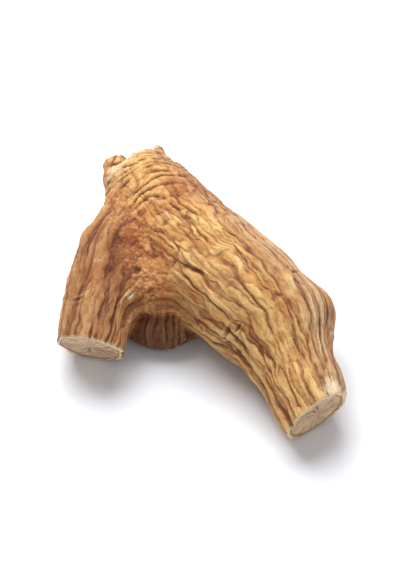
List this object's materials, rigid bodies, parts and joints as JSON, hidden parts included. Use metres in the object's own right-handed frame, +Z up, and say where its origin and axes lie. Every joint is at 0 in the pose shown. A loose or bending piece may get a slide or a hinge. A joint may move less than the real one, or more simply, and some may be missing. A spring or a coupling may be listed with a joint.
{
  "type": "soapwort root",
  "caption": "Dried forked root piece with a thick wrinkled body, a cut long leg, a cut short leg and a broken crown; lies on its side.",
  "frame": {"origin": "on the surface the root lies on, under the middle of its bounding box", "axes": "+Y towards the crown, along the root; +X to the side of the long leg's knot; +Z up from the resting surface"},
  "size_m": [0.0576, 0.0792, 0.0236],
  "materials": {
    "dried_root": "matt, wrinkled tan-brown bark with pale cut faces"
  },
  "bodies": {
    "root": {"forked_root": "dried_root"}
  },
  "joints": []
}
